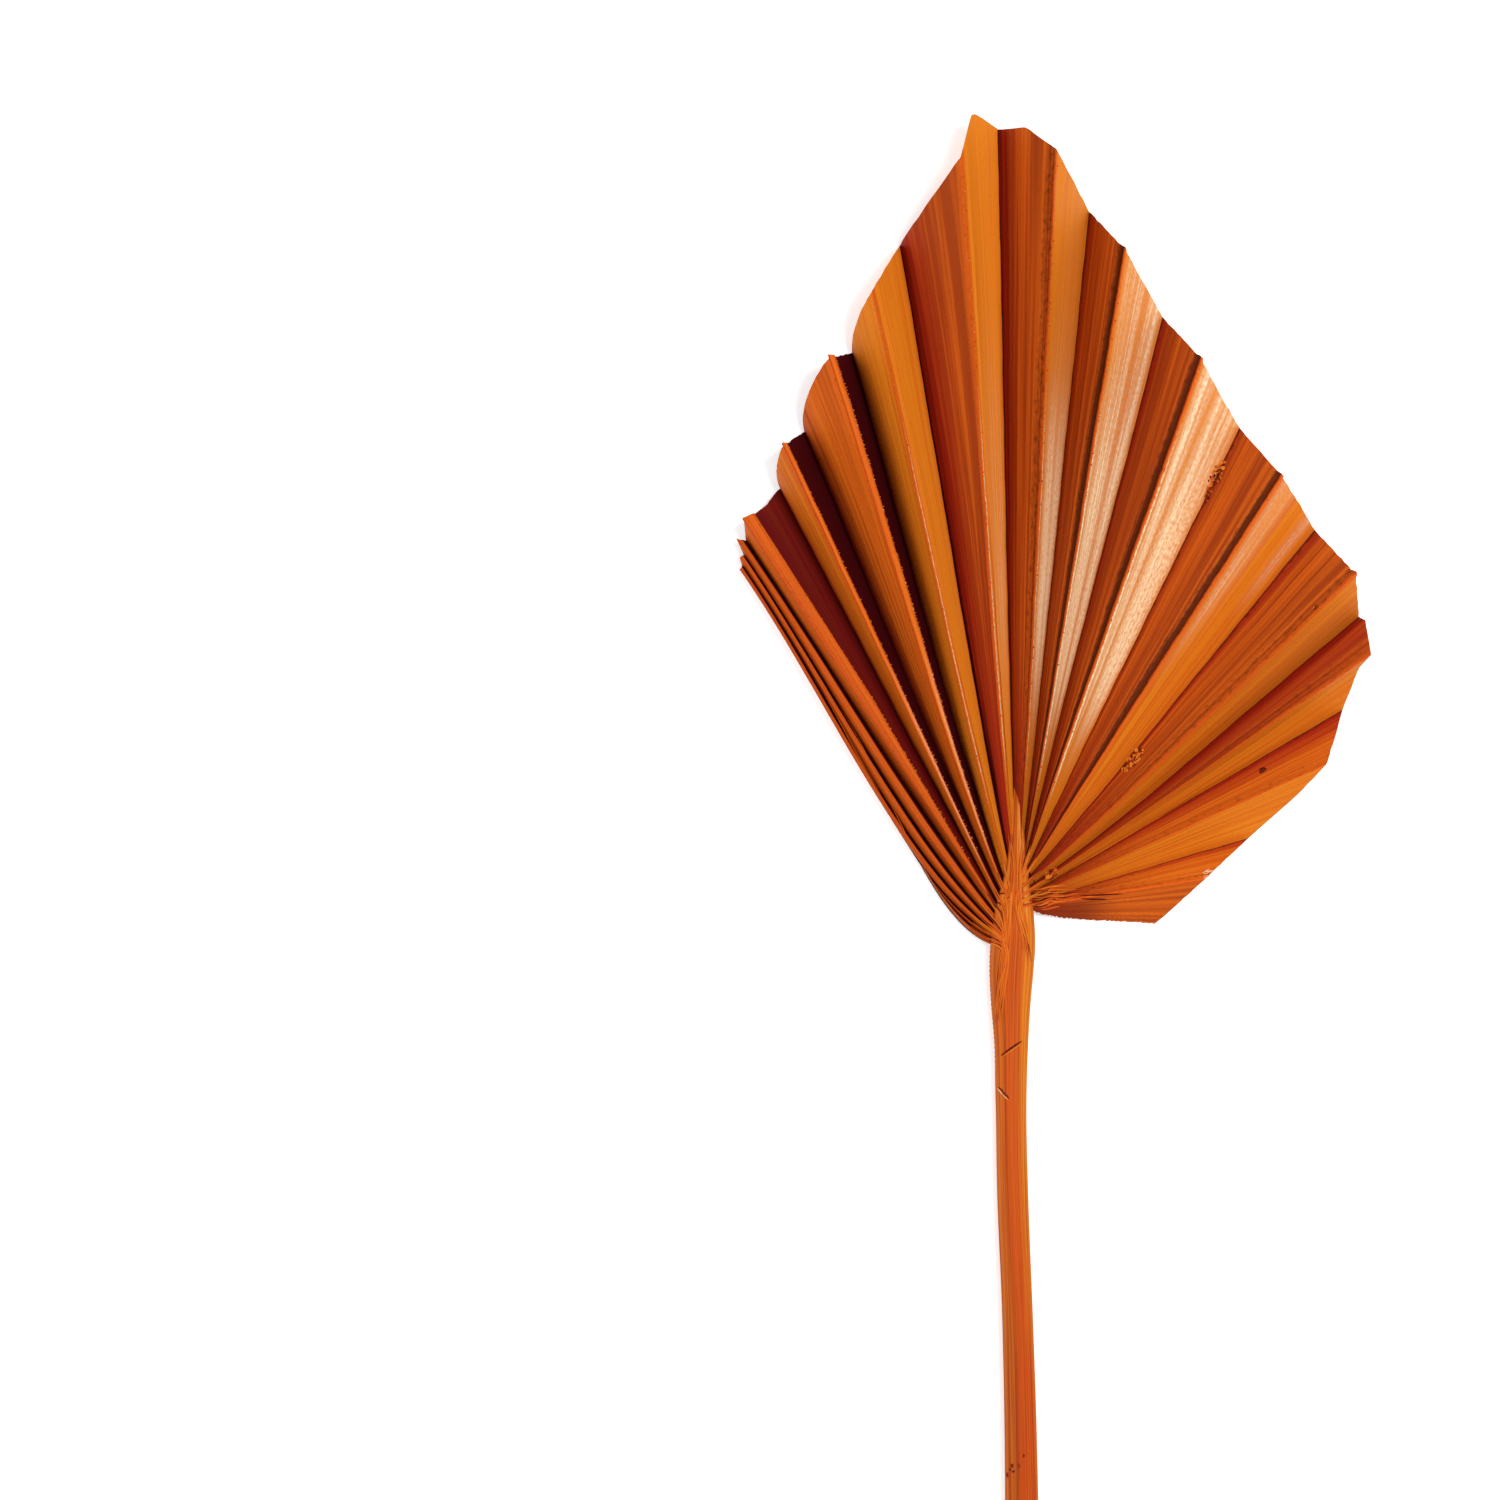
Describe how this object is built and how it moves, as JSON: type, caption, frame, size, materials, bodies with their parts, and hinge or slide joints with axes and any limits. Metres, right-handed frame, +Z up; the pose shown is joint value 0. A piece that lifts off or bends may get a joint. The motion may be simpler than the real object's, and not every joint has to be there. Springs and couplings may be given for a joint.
{
  "type": "fan palm leaf",
  "caption": "Dried fan palm leaf, dyed orange, with its pleated blade trimmed to a pointed spear and a long cut stalk, lying on its back.",
  "frame": {"origin": "middle of the footprint, on the surface that the leaf lies on", "axes": "+Z up, out of the leaf's upper side; +Y from the cut end of the stalk to the leaf's tip; +X to the leaf's open, wider side"},
  "size_m": [0.146, 0.4318, 0.0201],
  "materials": {
    "dyed_leaf": "satin"
  },
  "bodies": {
    "root": {"fan_palm_leaf": "dyed_leaf"}
  },
  "joints": []
}
